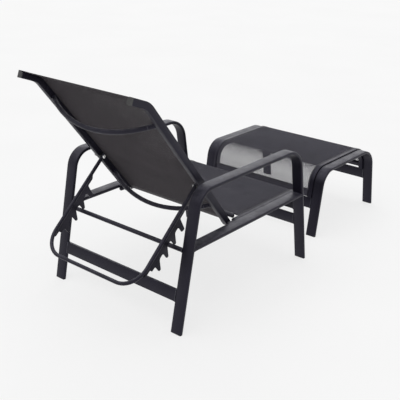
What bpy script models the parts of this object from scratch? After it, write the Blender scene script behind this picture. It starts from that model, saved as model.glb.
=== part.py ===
"""Reclining sun lounger: a tube-framed recliner chair with a mesh sling, a notched back stay and a footstool.

Metres, +Z up. The front of the chair faces -Y and the sitter's left is +X. Every place is worked out in
the shared frame, from the rear feet at Y = 0 on the floor at Z = 0; the whole model is centred at the end.
"""
import math

import bmesh
import bpy
from mathutils import Matrix, Vector

# ---- driving dimensions ----
GAP = 0.0003                 # room left between pieces that touch
WIDTH = 0.700                # over the side frames
TUBE_WIDE = 0.050            # flat tube of the side frames, wide face
TUBE_THIN = 0.014
TUBE_CORNER = 0.0045
TUBE_WALL = 0.002

LEG_SPREAD = 0.8428          # rear face of the rear leg to rear face of the front leg, at the floor
REAR_LEAN = 0.195            # forward run of the rear leg for each metre of height
FRONT_LEAN = 0.1715          # rearward run of the front leg for each metre of height
ARM_TOP = 0.544
REAR_BEND = 0.083            # outer radius between the rear leg and the armrest
FRONT_BEND = 0.105
GLIDE_THICK = 0.003

RAIL_TOP = 0.331             # top of the side rails
REAR_BAR = (0.1157, 0.1637)  # lowest and highest edge of the rear crossbar
FRONT_BAR = (0.1673, 0.2163)
CATCH_HEIGHT = 0.3113
CATCH_RADIUS = 0.00875

SLING_RAIL_WIDE = 0.022      # sling rail: across the chair
SLING_RAIL_DEEP = 0.027      # sling rail: square to the sling
STEP_WIDE = 0.006            # step along the inner edge, where the sling's edge lies
STEP_DEEP = 0.0032
CHAMBER_WALL = 0.0022
SLING_THICK = 0.002

SEAT_TOP = 0.329
SEAT_REAR_BAR = (-0.395, 0.334)       # Y and Z of the tube in the seat's rear hem
SEAT_REAR_BAR_RADIUS = 0.008
SEAT_BACK_END = -0.385
SEAT_BEND = 0.060
SEAT_AHEAD = 0.042           # the seat's front face stands this far ahead of the front legs
SEAT_RAIL_LOW = 0.231         # front ends of the seat rails
SEAT_FABRIC_BAR = (0.2215, 0.2480)
FABRIC_BAR_THIN = 0.010

BACK_ANGLE = 51.2            # degrees above the floor at rest
BACK_REAR_POINT = (-0.2151, 0.4784)   # a point on the rear face of the back rails (Y, Z)
BACK_OUTER = 0.284           # outer face of the back rails
BACK_HINGE = -0.2160         # along the rail from that point
BACK_HEAD_START = 0.4760     # along the rail, where the head end starts to bend back
HEAD_ANGLE = 21.0
HEAD_BEND = 0.070
HEAD_STRAIGHT = 0.060
BRACE_RADIUS = 0.009
UPPER_BRACE = (0.396, 0.391, 0.0700)  # along the rail at its ends and at its middle, depth of the bow
LOWER_BRACE = (-0.087, -0.098, 0.0655)
BRACE_INSET = 0.0095         # rear face of the rail to the middle of a brace's end

STAY_PIVOT = (-0.1962, 0.5104)
STAY_ANGLE = -42.45          # degrees from level, towards the rear
STAY_HALF = 0.2475           # centre of the chair to the centre of a stay arm
STAY_RADIUS = 0.0075
STAY_REACH = 0.4446          # pivot to the centre of the handle
STAY_BEND = 0.0915
STAY_TAIL = 0.012            # tube past the pivot
NOTCH_PITCH = 0.0563
NOTCH_COUNT = 4
FIRST_NOTCH = 0.1617         # pivot to the steep face of the first notch
NOTCH_FLOOR = 0.0330         # stay centre line to the floor of a notch
TOOTH_TIP = 0.0705
PLATE_SHOULDER = 0.0180      # stay centre line to the plate's low ends
PLATE_THICK = 0.005
FIRST_RISE = 0.0282           # where the first hook starts to rise, before its steep face
PLATE_START = (0.0455, 0.0330)          # the plate's end and its shoulder, before that rise
FIRST_TIP = 0.0137            # length of the first hook's tip, and of the others
NEXT_TIP = 0.0062
TIP_FALL = 0.0050             # how far a hook's tip falls to its steep face
TIP_OVERHANG = 0.0026
FACE_LEAN = 0.0010
NOTCH_LENGTH = 0.0245         # along a notch's floor to the next rise
LAST_LENGTH = 0.0209
PLATE_END = (0.0022, 0.0245, 0.0345)    # the low tail's start, its shoulder and the plate's end

STOOL_SHIFT = 0.0828         # the stool stands a little to the sitter's left
STOOL_START = -1.0690        # rear face of its chair-end legs at the floor
STOOL_SPREAD = 0.5702
STOOL_TOP = 0.3212
STOOL_PROUD = 0.0045         # the stool's sling stands this far outside its side tubes
STOOL_REAR_LEAN = 0.150
STOOL_REAR_BEND = 0.085
STOOL_REAR_BAR = (0.1305, 0.1795)
STOOL_REAR_FABRIC_BAR = (0.185, 0.218)
STOOL_FRONT_BAR = (0.141, 0.1915)
STOOL_FRONT_FABRIC_BAR = (0.2025, 0.222)

BOLT_RADIUS = 0.004
HOLE_RADIUS = 0.0043
ARC_STEP = math.radians(7.5)

half = WIDTH / 2
frame_inner = half - TUBE_WIDE
seat_rail_outer = frame_inner - GAP


# ---- scene and materials ----
def clear_scene():
    for obj in list(bpy.context.scene.objects):
        bpy.data.objects.remove(obj, do_unlink=True)


def material(name, colour, roughness, metallic):
    mat = bpy.data.materials.new(name)
    mat.use_nodes = True
    shader = mat.node_tree.nodes["Principled BSDF"]
    shader.inputs["Base Color"].default_value = (*colour, 1.0)
    shader.inputs["Roughness"].default_value = roughness
    shader.inputs["Metallic"].default_value = metallic
    return mat


clear_scene()
places = {}
POWDER_COAT = ((0.030, 0.031, 0.037), 0.45, 0.3)
MESH_CLOTH = ((0.045, 0.043, 0.047), 0.85, 0.0)
STEEL = ((0.55, 0.55, 0.56), 0.3, 1.0)
BLACK_PLASTIC = ((0.02, 0.02, 0.022), 0.6, 0.0)
GREY_PLASTIC = ((0.22, 0.22, 0.23), 0.55, 0.0)


def link(obj, place, parent=None):
    """Put an object at a place in the shared frame, as a child of parent if one is given."""
    bpy.context.scene.collection.objects.link(obj)
    obj.location = place
    if parent is not None:
        obj.parent = parent
        obj.location = Vector(place) - places[parent.name]
    places[obj.name] = Vector(place)
    return obj


def finish(name, bm, look, parent=None, smooth=True):
    """Make one named object out of a closed mesh, with its own material.

    A moving piece has its origin on its joint's axis, any other at the middle of its box.
    """
    bmesh.ops.remove_doubles(bm, verts=bm.verts, dist=1e-6)
    bmesh.ops.recalc_face_normals(bm, faces=bm.faces)
    corners = [[pick(v.co[i] for v in bm.verts) for i in range(3)] for pick in (min, max)]
    origin = places[parent.name] if parent else (Vector(corners[0]) + Vector(corners[1])) / 2
    bmesh.ops.translate(bm, verts=bm.verts, vec=-origin)
    mesh = bpy.data.meshes.new(name)
    bm.to_mesh(mesh)
    bm.free()
    if smooth:
        mesh.shade_smooth()
        mesh.set_sharp_from_angle(angle=math.radians(35))
    mesh.materials.append(material(name + "_look", *look))
    return link(bpy.data.objects.new(name, mesh), origin, parent)


def axis_empty(name, place, parent=None):
    return link(bpy.data.objects.new(name, None), place, parent)


# ---- outlines ----
def rounded(points, radii, closed=False):
    """The polyline through points, with an arc of the given radius at each corner."""
    out = []
    count = len(points)
    for i, corner in enumerate(points):
        radius = radii[i] if isinstance(radii, (list, tuple)) else radii
        if not closed and i in (0, count - 1) or not radius:
            out.append(Vector(corner))
            continue
        corner = Vector(corner)
        before = (Vector(points[i - 1]) - corner).normalized()
        after = (Vector(points[(i + 1) % count]) - corner).normalized()
        opening = before.angle(after)
        turn = math.pi - opening
        reach = radius / math.tan(opening / 2)
        centre = corner + (before + after).normalized() * radius / math.sin(opening / 2)
        start = corner + before * reach - centre
        steps = max(2, math.ceil(turn / ARC_STEP))
        sign = 1 if before.cross(after) < 0 else -1
        for k in range(steps + 1):
            angle = sign * turn * k / steps
            cos, sin = math.cos(angle), math.sin(angle)
            out.append(centre + Vector((start.x * cos - start.y * sin, start.x * sin + start.y * cos)))
    return out


def box_outline(wide, thin, corner, steps=3):
    """A rounded rectangle centred on the origin."""
    out = []
    for sx, sy, first in ((1, 1, 0), (-1, 1, 90), (-1, -1, 180), (1, -1, 270)):
        for k in range(steps + 1):
            angle = math.radians(first + 90 * k / steps)
            out.append((sx * (wide / 2 - corner) + corner * math.cos(angle),
                        sy * (thin / 2 - corner) + corner * math.sin(angle)))
    return out


def circle_outline(radius, count=12):
    return [(radius * math.cos(2 * math.pi * k / count), radius * math.sin(2 * math.pi * k / count))
            for k in range(count)]


def sling_rail_outline():
    """Outer outline and chamber of a sling rail. First axis: outwards; second axis: towards the sitter."""
    wide, deep = SLING_RAIL_WIDE, SLING_RAIL_DEEP
    soft = 0.002
    outer = []
    for cx, cy, first in ((wide - soft, soft, -90), (wide - soft, deep - soft, 0)):
        for k in range(3):
            angle = math.radians(first + 45 * k)
            outer.append((cx + soft * math.cos(angle), cy + soft * math.sin(angle)))
    outer += [(STEP_WIDE, deep), (STEP_WIDE, deep - STEP_DEEP), (0, deep - STEP_DEEP)]
    for k in range(3):
        angle = math.radians(180 + 45 * k)
        outer.append((soft + soft * math.cos(angle), soft + soft * math.sin(angle)))
    wall = CHAMBER_WALL
    top = deep - STEP_DEEP - wall
    chamber = [(wall, wall), (wide - wall, wall), (wide - wall, top), (wall, top)]
    return outer, chamber


# ---- solids ----
def sweep(bm, path, side, outline, start_plane=None, end_plane=None):
    """Rings of outline along a flat path. side is the path plane's normal and the outline's first axis.

    The end rings slide along the path's direction onto start_plane and end_plane, each (point, normal).
    """
    rings = []
    last = len(path) - 1
    for i, point in enumerate(path):
        tangent = (path[min(i + 1, last)] - path[max(i - 1, 0)]).normalized()
        up = side.cross(tangent).normalized()
        plane = start_plane if i == 0 else end_plane if i == last else None
        ring = []
        for a, b in outline:
            place = point + side * a + up * b
            if plane is not None:
                place += tangent * ((plane[0] - place).dot(plane[1]) / tangent.dot(plane[1]))
            ring.append(bm.verts.new(place))
        rings.append(ring)
    count = len(outline)
    for low, high in zip(rings, rings[1:]):
        for k in range(count):
            bm.faces.new((low[k], low[(k + 1) % count], high[(k + 1) % count], high[k]))
    return rings


def ring_edges(bm, ring):
    return [bm.edges.get((ring[k], ring[(k + 1) % len(ring)])) for k in range(len(ring))]


def tube(path, side, outer, inner=None, start_plane=None, end_plane=None):
    """A bar or, with an inner outline, a tube that is open at both ends."""
    bm = bmesh.new()
    outside = sweep(bm, path, side, outer, start_plane, end_plane)
    inside = sweep(bm, path, side, inner, start_plane, end_plane) if inner else None
    for end in (0, -1):
        if inside:
            edges = ring_edges(bm, outside[end]) + ring_edges(bm, inside[end])
            bmesh.ops.triangle_fill(bm, use_beauty=True, use_dissolve=False, edges=edges)
        else:
            bm.faces.new(outside[end])
    return bm


def plate(outline, place, thick):
    """An outline of flat points, mapped by place(u, v, offset), made into a plate."""
    bm = bmesh.new()
    low = [bm.verts.new(place(u, v, 0.0)) for u, v in outline]
    high = [bm.verts.new(place(u, v, thick)) for u, v in outline]
    bm.faces.new(low)
    bm.faces.new(high)
    for k in range(len(outline)):
        after = (k + 1) % len(outline)
        bm.faces.new((low[k], low[after], high[after], high[k]))
    return bm


def turned(profile, count=16):
    """A closed profile of (radius, x) points turned round the X axis."""
    bm = bmesh.new()
    rings = []
    for radius, x in profile:
        if radius < 1e-7:
            rings.append([bm.verts.new((x, 0.0, 0.0))] * count)
        else:
            rings.append([bm.verts.new((x, radius * math.cos(2 * math.pi * k / count),
                                        radius * math.sin(2 * math.pi * k / count)))
                          for k in range(count)])
    closed = profile[0][0] > 1e-7
    pairs = list(zip(rings, rings[1:])) + ([(rings[-1], rings[0])] if closed else [])
    for low, high in pairs:
        for k in range(count):
            after = (k + 1) % count
            corners = []
            for vert in (low[k], low[after], high[after], high[k]):
                if vert not in corners:
                    corners.append(vert)
            if len(corners) > 2:
                bm.faces.new(corners)
    return bm


def moved(bm, x, y, z):
    bmesh.ops.translate(bm, verts=bm.verts, vec=(x, y, z))
    return bm


def drilled(obj, radius, low, high, y, z):
    """Drill a round hole along X through an object."""
    bm = bmesh.new()
    turn = Matrix.Rotation(math.pi / 2, 4, "Y")
    bmesh.ops.create_cone(bm, cap_ends=True, segments=16, radius1=radius, radius2=radius,
                          depth=abs(high - low), matrix=turn)
    mesh = bpy.data.meshes.new(obj.name + "_drill")
    bm.to_mesh(mesh)
    bm.free()
    cutter = bpy.data.objects.new(obj.name + "_drill", mesh)
    cutter.hide_render = True
    cutter.display_type = "WIRE"
    link(cutter, ((low + high) / 2, y, z), obj)
    cut = obj.modifiers.new("bolt_hole", "BOOLEAN")
    cut.operation = "DIFFERENCE"
    cut.solver = "EXACT"
    cut.object = cutter


def both_sides(make):
    """Call make for the left side (+X) and the right side (-X)."""
    for name, sign in (("left", 1), ("right", -1)):
        make(name, sign)


def across(points, sign, x):
    """Flat (Y, Z) points as places at sign * x."""
    return [Vector((sign * x, p[0], p[1])) for p in points]


X_AXIS = Vector((1, 0, 0))
FLOOR = (Vector((0, 0, GLIDE_THICK)), Vector((0, 0, 1)))
flat_outer = box_outline(TUBE_WIDE, TUBE_THIN, TUBE_CORNER)
flat_inner = box_outline(TUBE_WIDE - 2 * TUBE_WALL, TUBE_THIN - 2 * TUBE_WALL, TUBE_CORNER - TUBE_WALL)


# ---- frame shapes in the side view ----
class LegFrame:
    """An upside-down U of flat tube, seen from the side: two splayed legs and a level top."""

    def __init__(self, start, spread, top, rear_lean, front_lean, rear_bend, front_bend):
        self.top = top
        self.rear_lean, self.front_lean = rear_lean, front_lean
        self.rear_bend, self.front_bend = rear_bend, front_bend
        self.rear_run = TUBE_THIN * math.hypot(1, rear_lean)
        self.front_run = TUBE_THIN * math.hypot(1, front_lean)
        self.start, self.spread = start, spread

    def rear_face(self, z):
        """Y of the rear leg's rear face."""
        return self.start - self.rear_lean * z

    def front_face(self, z):
        """Y of the front leg's front face."""
        return self.start - self.spread - self.front_run + self.front_lean * z

    def line(self, inset, low_rear=0.0, low_front=0.0):
        """The U at a depth of inset inside its outer faces, down to the given heights."""
        rear_in = inset * math.hypot(1, self.rear_lean)
        front_in = inset * math.hypot(1, self.front_lean)
        top = self.top - inset
        corners = [(self.rear_face(low_rear) - rear_in, low_rear),
                   (self.rear_face(top) - rear_in, top),
                   (self.front_face(top) + front_in, top),
                   (self.front_face(low_front) + front_in, low_front)]
        return rounded(corners, [0, self.rear_bend - inset, self.front_bend - inset, 0])


chair = LegFrame(0.0, LEG_SPREAD, ARM_TOP, REAR_LEAN, FRONT_LEAN, REAR_BEND, FRONT_BEND)
stool = LegFrame(STOOL_START, STOOL_SPREAD, STOOL_TOP, STOOL_REAR_LEAN, FRONT_LEAN,
                 STOOL_REAR_BEND, FRONT_BEND)


def side_frame(name, frame, sign, shift, parent=None):
    path = across(frame.line(TUBE_THIN / 2), sign, half - TUBE_WIDE / 2)
    bm = tube(path, X_AXIS, flat_outer, flat_inner, FLOOR, FLOOR)
    finish(name, moved(bm, shift, 0, 0), POWDER_COAT, parent)


def glide(name, frame, front, sign, shift, parent=None):
    """A flat foot cap under a leg, with a plug that stands up inside the tube."""
    lean = frame.front_lean if front else -frame.rear_lean
    run = frame.front_run if front else frame.rear_run
    y = frame.front_face(0) + run / 2 if front else frame.rear_face(0) - run / 2
    slope = Vector((0, lean, 1)).normalized()
    foot = Vector((sign * (half - TUBE_WIDE / 2), y, 0))
    sole = [foot, foot + slope * GLIDE_THICK / slope.z]
    ground = (Vector((0, 0, 0)), Vector((0, 0, 1)))
    shoulder = (Vector((0, 0, GLIDE_THICK - GAP)), Vector((0, 0, 1)))
    bm = tube(sole, X_AXIS, flat_outer, None, ground, shoulder)
    finish(name, moved(bm, shift, 0, 0), BLACK_PLASTIC, parent)


def crossbar(name, frame, front, heights, reach, thin, inset, shift, parent=None):
    """A flat bar between the two sides, standing on edge in the plane of the legs."""
    middle = (heights[0] + heights[1]) / 2
    lean = frame.front_lean if front else -frame.rear_lean
    stretch = math.hypot(1, lean)
    if front:
        y = frame.front_face(middle) + inset * stretch
    else:
        y = frame.rear_face(middle) - inset * stretch
    up = Vector((0, lean, 1)).normalized()
    tall = (heights[1] - heights[0]) * stretch
    path = [Vector((-reach, y, middle)), Vector((reach, y, middle))]
    wall = TUBE_WALL
    bm = tube(path, up, box_outline(tall, thin, 0.003, 2),
              box_outline(tall - 2 * wall, thin - 2 * wall, 0.001, 2))
    finish(name, moved(bm, shift, 0, 0), POWDER_COAT, parent)


# ---- chair frame ----
def chair_frame():
    def one_side(name, sign):
        side_frame("side_frame_" + name, chair, sign, 0.0)
        glide("rear_foot_" + name, chair, False, sign, 0.0)
        glide("front_foot_" + name, chair, True, sign, 0.0)
        rail_middle = RAIL_TOP - TUBE_THIN / 2
        x = sign * (half - TUBE_WIDE / 2)
        rear = chair.rear_face(rail_middle) - chair.rear_run
        front = chair.front_face(rail_middle) + chair.front_run
        path = [Vector((x, rear, rail_middle)), Vector((x, front, rail_middle))]
        rear_cut = (path[0] - Vector((0, GAP * 1.1, 0)), Vector((0, 1, REAR_LEAN)).normalized())
        front_cut = (path[1] + Vector((0, GAP * 1.1, 0)), Vector((0, 1, -FRONT_LEAN)).normalized())
        bm = tube(path, X_AXIS, flat_outer, flat_inner, rear_cut, front_cut)
        finish("side_rail_" + name, bm, POWDER_COAT)

    both_sides(one_side)
    reach = frame_inner - GAP
    crossbar("rear_crossbar", chair, False, REAR_BAR, reach, TUBE_THIN, TUBE_THIN / 2, 0.0)
    crossbar("front_crossbar", chair, True, FRONT_BAR, reach, TUBE_THIN, TUBE_THIN / 2, 0.0)
    y = chair.rear_face(CATCH_HEIGHT) - chair.rear_run / 2
    path = [Vector((-reach, y, CATCH_HEIGHT)), Vector((reach, y, CATCH_HEIGHT))]
    bm = tube(path, Vector((0, 0, 1)), circle_outline(CATCH_RADIUS, 16),
              circle_outline(CATCH_RADIUS - 0.0015, 16))
    finish("catch_bar", bm, POWDER_COAT)


# ---- slings and their rails ----
def rail_between(name, line, sign, outer_x, shift, parent=None, start_plane=None, end_plane=None):
    """A sling rail along line, which runs at the outer (sitter's) face of the rail."""
    outer, chamber = sling_rail_outline()
    inner_x = outer_x - SLING_RAIL_WIDE
    deep = SLING_RAIL_DEEP

    def placed(outline):
        return [(sign * (inner_x + a), b - deep) for a, b in outline]

    path = across(line, 1, 0.0)
    bm = tube(path, X_AXIS, placed(outer), placed(chamber), start_plane, end_plane)
    return finish(name, moved(bm, shift, 0, 0), POWDER_COAT, parent)


def offset_line(line, depth):
    """The flat line moved to its right-hand side by depth."""
    out = []
    last = len(line) - 1
    for i, p in enumerate(line):
        run = (line[min(i + 1, last)] - line[max(i - 1, 0)]).normalized()
        out.append(p + Vector((run.y, -run.x)) * depth)
    return out


def trimmed(line, cut_start, cut_end):
    """The line without its first cut_start and last cut_end metres."""
    def chop(points, cut):
        points = list(points)
        while cut > 0:
            step = (points[1] - points[0]).length
            if step > cut + 1e-5:
                points[0] = points[0].lerp(points[1], cut / step)
                return points
            points.pop(0)
            cut -= step
        return points

    line = chop(line, cut_start)
    return chop(line[::-1], cut_end)[::-1]


def sling(name, line, half_wide, shift, parent=None):
    """A flat-woven sheet, its sitter's face at the foot of the step's upper edge."""
    middle = offset_line(line, STEP_DEEP - GAP - SLING_THICK / 2)
    path = across(middle, 1, 0.0)
    thick = SLING_THICK / 2
    outline = [(-half_wide, -thick), (half_wide, -thick), (half_wide, thick), (-half_wide, thick)]
    bm = tube(path, X_AXIS, outline)
    finish(name, moved(bm, shift, 0, 0), MESH_CLOTH, parent, smooth=False)


def seat():
    """The sitter's face runs level to the front, then turns down in the plane of the front legs."""
    low = SEAT_RAIL_LOW
    corners = [(chair.front_face(low) - SEAT_AHEAD, low),
               (chair.front_face(SEAT_TOP) - SEAT_AHEAD, SEAT_TOP),
               (SEAT_BACK_END, SEAT_TOP)]
    line = rounded(corners, [0, SEAT_BEND, 0])
    both_sides(lambda name, sign: rail_between("seat_rail_" + name, line, sign, seat_rail_outer, 0.0))
    inner = seat_rail_outer - SLING_RAIL_WIDE
    crossbar("seat_fabric_bar", chair, True, SEAT_FABRIC_BAR, inner - GAP, FABRIC_BAR_THIN,
             FABRIC_BAR_THIN / 2 + 0.002 - SEAT_AHEAD / math.hypot(1, FRONT_LEAN), 0.0)
    skirt_gap = (SEAT_FABRIC_BAR[1] - low + 2 * GAP) * math.hypot(1, FRONT_LEAN)
    y, z = SEAT_REAR_BAR
    path = [Vector((-inner + GAP, y, z)), Vector((inner - GAP, y, z))]
    bm = tube(path, Vector((0, 0, 1)), circle_outline(SEAT_REAR_BAR_RADIUS, 16),
              circle_outline(SEAT_REAR_BAR_RADIUS - 0.0015, 16))
    finish("seat_rear_bar", bm, POWDER_COAT)
    wrap = SEAT_REAR_BAR_RADIUS + STEP_DEEP
    hem = [(y - 0.028, SEAT_TOP), (y - 0.008, z + wrap), (y + wrap, z + wrap), (y + wrap, z)]
    cloth = rounded(corners[:2] + hem, [0, SEAT_BEND, 0.025, 0.02, wrap, 0])
    cloth = trimmed(cloth, skirt_gap, 0.0)
    sling("seat_sling", cloth, inner + STEP_WIDE - GAP, 0.0)


# ---- backrest ----
back_run = Vector((math.cos(math.radians(BACK_ANGLE)), math.sin(math.radians(BACK_ANGLE))))
back_face = Vector((-back_run.y, back_run.x))          # towards the sitter
back_zero = Vector(BACK_REAR_POINT)


def on_back(along, out=0.0):
    """(Y, Z) of a point along the back rails, out from their rear face."""
    return back_zero + back_run * along + back_face * out


hinge_place = on_back(BACK_HINGE, SLING_RAIL_DEEP / 2)
LUG_LENGTH = 0.030


def back_line():
    """The sitter's face of the back rails, from the lugs up to the head end."""
    turn = math.radians(BACK_ANGLE - HEAD_ANGLE)
    outer_bend = HEAD_BEND + SLING_RAIL_DEEP / 2
    reach = outer_bend * math.tan(turn / 2)
    corner = on_back(BACK_HEAD_START + reach, SLING_RAIL_DEEP)
    head = Vector((math.cos(math.radians(HEAD_ANGLE)), math.sin(math.radians(HEAD_ANGLE))))
    end = corner + head * (reach + HEAD_STRAIGHT)
    return rounded([on_back(BACK_HINGE + LUG_LENGTH, SLING_RAIL_DEEP), corner, end], [0, outer_bend, 0])


def brace(name, ends, middle, depth, parent):
    """A tube bowed out behind the back rails, between their inner faces."""
    span = BACK_OUTER - SLING_RAIL_WIDE - GAP
    droop = middle - ends
    rise = math.hypot(depth + BRACE_INSET, droop)
    bow = (span ** 2 + rise ** 2) / (2 * rise)
    steps = 18
    reach = math.asin(span / bow)
    path = []
    for k in range(steps + 1):
        angle = reach * (2 * k / steps - 1)
        back = 1 - bow * (1 - math.cos(angle)) / rise
        y, z = on_back(ends + droop * back, BRACE_INSET - (depth + BRACE_INSET) * back)
        path.append(Vector((bow * math.sin(angle), y, z)))
    cuts = [(path[end], X_AXIS) for end in (0, -1)]
    side = X_AXIS.cross(path[steps // 2] - (path[0] + path[-1]) / 2).normalized()
    bm = tube(path, side, circle_outline(BRACE_RADIUS, 12), circle_outline(BRACE_RADIUS - 0.0015, 12), *cuts)
    finish(name, bm, POWDER_COAT, parent)


def backrest(pivot):
    line = back_line()

    def one_side(name, sign):
        rail = rail_between("back_rail_" + name, line, sign, BACK_OUTER, 0.0, pivot)
        y, z = STAY_PIVOT
        drilled(rail, HOLE_RADIUS, sign * (BACK_OUTER - 0.03), sign * (BACK_OUTER + 0.01), y, z)
        inner = BACK_OUTER - SLING_RAIL_WIDE
        hinge_lug(name, sign, inner, pivot)
        end_cap(name, sign, line, inner, pivot)
        hinge_parts(name, sign)

    both_sides(one_side)
    brace("back_brace_upper", *UPPER_BRACE, pivot)
    brace("back_brace_lower", *LOWER_BRACE, pivot)
    inner = BACK_OUTER - SLING_RAIL_WIDE
    cloth = [on_back(BACK_HINGE - 0.010, SLING_RAIL_DEEP)] + line
    sling("back_sling", cloth, inner + STEP_WIDE - GAP, 0.0, pivot)


def hinge_lug(name, sign, inner, parent):
    """The solid lower end of a back rail, rounded about the hinge bolt."""
    radius = SLING_RAIL_DEEP / 2 - STEP_DEEP / 2
    top = LUG_LENGTH - GAP
    outline = [(top, -SLING_RAIL_DEEP / 2), (top, SLING_RAIL_DEEP / 2 - STEP_DEEP),
               (0.0, radius - STEP_DEEP / 2)]
    for k in range(1, 12):
        angle = math.radians(90 + 15 * k)
        outline.append((radius * math.cos(angle), radius * math.sin(angle) - STEP_DEEP / 2))
    outline.append((0.0, -SLING_RAIL_DEEP / 2))

    def place(u, v, offset):
        y, z = on_back(BACK_HINGE + u, SLING_RAIL_DEEP / 2 + v)
        return (sign * (inner + offset), y, z)

    lug = finish("hinge_lug_" + name, plate(outline, place, SLING_RAIL_WIDE), POWDER_COAT, parent)
    drilled(lug, HOLE_RADIUS, sign * (inner - 0.01), sign * (BACK_OUTER + 0.01), *hinge_place)


def end_cap(name, sign, line, inner, parent):
    """The light plastic cap on the head end of a back rail."""
    run = (line[-1] - line[-2]).normalized()
    first = line[-1] + run * GAP
    path = [first, first + run * 0.004]
    outer, _ = sling_rail_outline()
    outline = [(sign * (inner + a), b - SLING_RAIL_DEEP) for a, b in outer]
    finish("rail_cap_" + name, tube(across(path, 1, 0.0), X_AXIS, outline), GREY_PLASTIC, parent)


def ring_profile(hole, radius, low, high):
    return [(hole, low), (radius, low), (radius, high), (hole, high)]


def hinge_parts(name, sign):
    """Bracket on the side rail, spacer and bolt of the back hinge."""
    y, z = hinge_place
    low, high = frame_inner - GAP - 0.005, frame_inner - GAP
    ring = ring_profile(HOLE_RADIUS, 0.008, sign * (BACK_OUTER + GAP), sign * (low - GAP))
    finish("hinge_spacer_" + name, moved(turned(ring), 0, y, z), BLACK_PLASTIC)
    high_edge = RAIL_TOP - 0.001
    corners = [(y - 0.022, 0.304), (y + 0.026, 0.304), (y + 0.026, high_edge), (y - 0.022, high_edge)]
    outline = rounded(corners, [0.008, 0.010, 0.002, 0.002], closed=True)
    bm = plate(outline, lambda u, v, offset: (sign * (low + offset), u, v), high - low)
    bracket = finish("hinge_bracket_" + name, bm, POWDER_COAT)
    drilled(bracket, HOLE_RADIUS, sign * (low - 0.01), sign * (high + 0.01), y, z)
    inner = BACK_OUTER - SLING_RAIL_WIDE
    finish("hinge_bolt_" + name, moved(dome_bolt(sign, inner - GAP, high - 0.0005), 0, y, z), STEEL)


def dome_bolt(sign, seat_x, end_x, head=0.007, high=0.004):
    """A bolt with a domed head on its inner side, along X from seat_x to end_x."""
    profile = [(0.0, sign * (seat_x - high))]
    for k in range(1, 4):
        angle = math.radians(30 * k)
        profile.append((head * math.sin(angle), sign * (seat_x - high * math.cos(angle))))
    profile[-1] = (head, sign * (seat_x - 0.0005))
    profile += [(head, sign * seat_x), (BOLT_RADIUS, sign * seat_x),
                (BOLT_RADIUS, sign * end_x), (0.0, sign * end_x)]
    return turned(profile)


# ---- stay with its notched plates ----
stay_run = Vector((math.cos(math.radians(STAY_ANGLE)), math.sin(math.radians(STAY_ANGLE))))
stay_under = Vector((stay_run.y, -stay_run.x))         # towards the teeth


def on_stay(along, under):
    y, z = Vector(STAY_PIVOT) + stay_run * along + stay_under * under
    return y, z


def plate_outline():
    """The notched edge: hooks with a steep face on the pivot's side, and a round notch behind each."""
    top = STAY_RADIUS + GAP
    first = FIRST_NOTCH - FIRST_RISE
    corners = [(first - PLATE_START[0], top), (first - PLATE_START[1], PLATE_SHOULDER),
               (first, PLATE_SHOULDER)]
    radii = [0, 0.010, 0.006]
    for k in range(NOTCH_COUNT):
        face = FIRST_NOTCH + NOTCH_PITCH * k
        tip = FIRST_TIP if k == 0 else NEXT_TIP
        corners += [(face - tip, TOOTH_TIP), (face + TIP_OVERHANG, TOOTH_TIP - TIP_FALL),
                    (face - FACE_LEAN, NOTCH_FLOOR)]
        radii += [0.005, 0.0022, 0.0085]
        if k < NOTCH_COUNT - 1:
            corners += [(face + NOTCH_LENGTH, NOTCH_FLOOR)]
            radii += [0.014]
    last = FIRST_NOTCH + NOTCH_PITCH * (NOTCH_COUNT - 1) + LAST_LENGTH
    corners += [(last, NOTCH_FLOOR - 0.0015), (last + PLATE_END[0], PLATE_SHOULDER),
                (last + PLATE_END[1], PLATE_SHOULDER - 0.0010), (last + PLATE_END[2], top)]
    radii += [0.003, 0.004, 0.008, 0]
    return rounded(corners, radii, closed=True)


def stay(swing, back_pivot):
    reach = STAY_HALF
    flat = [(reach, -STAY_TAIL), (reach, STAY_REACH), (-reach, STAY_REACH), (-reach, -STAY_TAIL)]
    flat_path = rounded(flat, [0, STAY_BEND, STAY_BEND, 0])
    path = [Vector((p[0], *on_stay(p[1], 0.0))) for p in flat_path]
    side = Vector((0, stay_under.x, stay_under.y))
    bm = tube(path, side, circle_outline(STAY_RADIUS), circle_outline(STAY_RADIUS - 0.0015))
    bail = finish("stay_bail", bm, POWDER_COAT, swing)
    y, z = STAY_PIVOT
    drilled(bail, HOLE_RADIUS, -0.3, 0.3, y, z)
    outline = plate_outline()
    nut_low, nut_high = BACK_OUTER + GAP, BACK_OUTER + 0.0062

    def one_side(name, sign):
        inner = reach - PLATE_THICK / 2
        bm = plate(outline, lambda u, v, offset: (sign * (inner + offset), *on_stay(u, v)), PLATE_THICK)
        finish("notch_plate_" + name, bm, POWDER_COAT, swing, smooth=False)
        arm_in, arm_out = reach - STAY_RADIUS - GAP, reach + STAY_RADIUS + GAP
        rail_in = BACK_OUTER - SLING_RAIL_WIDE - GAP
        spacer = ring_profile(HOLE_RADIUS, 0.007, sign * arm_out, sign * rail_in)
        finish("stay_spacer_" + name, moved(turned(spacer), 0, y, z), BLACK_PLASTIC, back_pivot)
        bolt = dome_bolt(sign, arm_in, nut_high + 0.0015, 0.0075, 0.005)
        finish("stay_bolt_" + name, moved(bolt, 0, y, z), STEEL, back_pivot)
        bm = plate(circle_outline(0.0073, 6),
                   lambda u, v, offset: (sign * (nut_low + offset), y + u, z + v), nut_high - nut_low)
        nut = finish("stay_nut_" + name, bm, STEEL, back_pivot, smooth=False)
        drilled(nut, HOLE_RADIUS, sign * (nut_low - 0.01), sign * (nut_high + 0.01), y, z)

    both_sides(one_side)


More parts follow.
